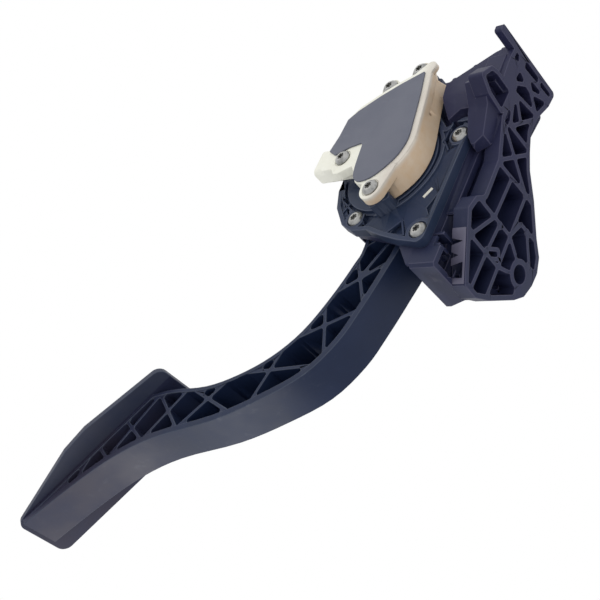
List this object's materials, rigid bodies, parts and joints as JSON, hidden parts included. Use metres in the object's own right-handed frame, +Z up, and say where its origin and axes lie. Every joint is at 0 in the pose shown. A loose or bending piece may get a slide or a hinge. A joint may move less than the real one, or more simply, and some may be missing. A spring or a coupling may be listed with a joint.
{
  "type": "accelerator pedal",
  "caption": "Hanging accelerator pedal module: lattice mounting bracket, side cover, position sensor and a ribbed arm with its pad.",
  "frame": {"origin": "centre of the lower bolt hole on the mounting face", "axes": "+X out of the mounting face towards the bulkhead, +Z up, the sensor on the -Y side"},
  "size_m": [0.2506, 0.0893, 0.2942],
  "materials": {
    "bracket_plastic": "glass-filled nylon, satin",
    "cover_plastic": "glass-filled nylon, satin",
    "arm_plastic": "glass-filled nylon, satin",
    "screw_steel": "zinc plated",
    "shaft_steel": "ground",
    "spring_steel": "oiled spring wire",
    "bush_plastic": "moulded",
    "washer_plastic": "natural acetal",
    "shoe_lining": "friction lining",
    "stop_rubber": "moulded rubber",
    "sensor_shell": "ivory moulding, yellowed on one side",
    "sensor_lid": "fine matt",
    "contact_metal": "tin bronze",
    "board_laminate": "green solder mask"
  },
  "bodies": {
    "base": {"mounting_bracket": "bracket_plastic", "housing_cover": "cover_plastic", "cover_screws": "screw_steel", "near_bush": "bush_plastic", "far_bush": "bush_plastic", "thrust_washers": "washer_plastic", "outer_return_spring": "spring_steel", "inner_return_spring": "spring_steel", "friction_shoe": "shoe_lining", "idle_bumper": "stop_rubber", "full_travel_bumper": "stop_rubber", "sensor_housing": "sensor_shell", "sensor_lid": "sensor_lid", "sensor_screws": "screw_steel", "sensor_seal": "stop_rubber", "circuit_board": "board_laminate", "connector_pins": "contact_metal"},
    "pedal": {"pedal_arm": "arm_plastic", "pivot_shaft": "shaft_steel", "shaft_clip": "spring_steel", "spring_seat": "washer_plastic", "sensor_rotor": "washer_plastic", "wiper_contacts": "contact_metal"}
  },
  "joints": [
    {"name": "pedal_pivot", "type": "hinge", "parent": "base", "child": "pedal", "pos_m": [-0.058, -0.0335, 0.032], "axis": [0, -1, 0], "range_deg": [0, 15], "stiffness_Nm_per_rad": 12, "springref_deg": -20.05, "deforming": ["outer_return_spring", "inner_return_spring"]}
  ]
}
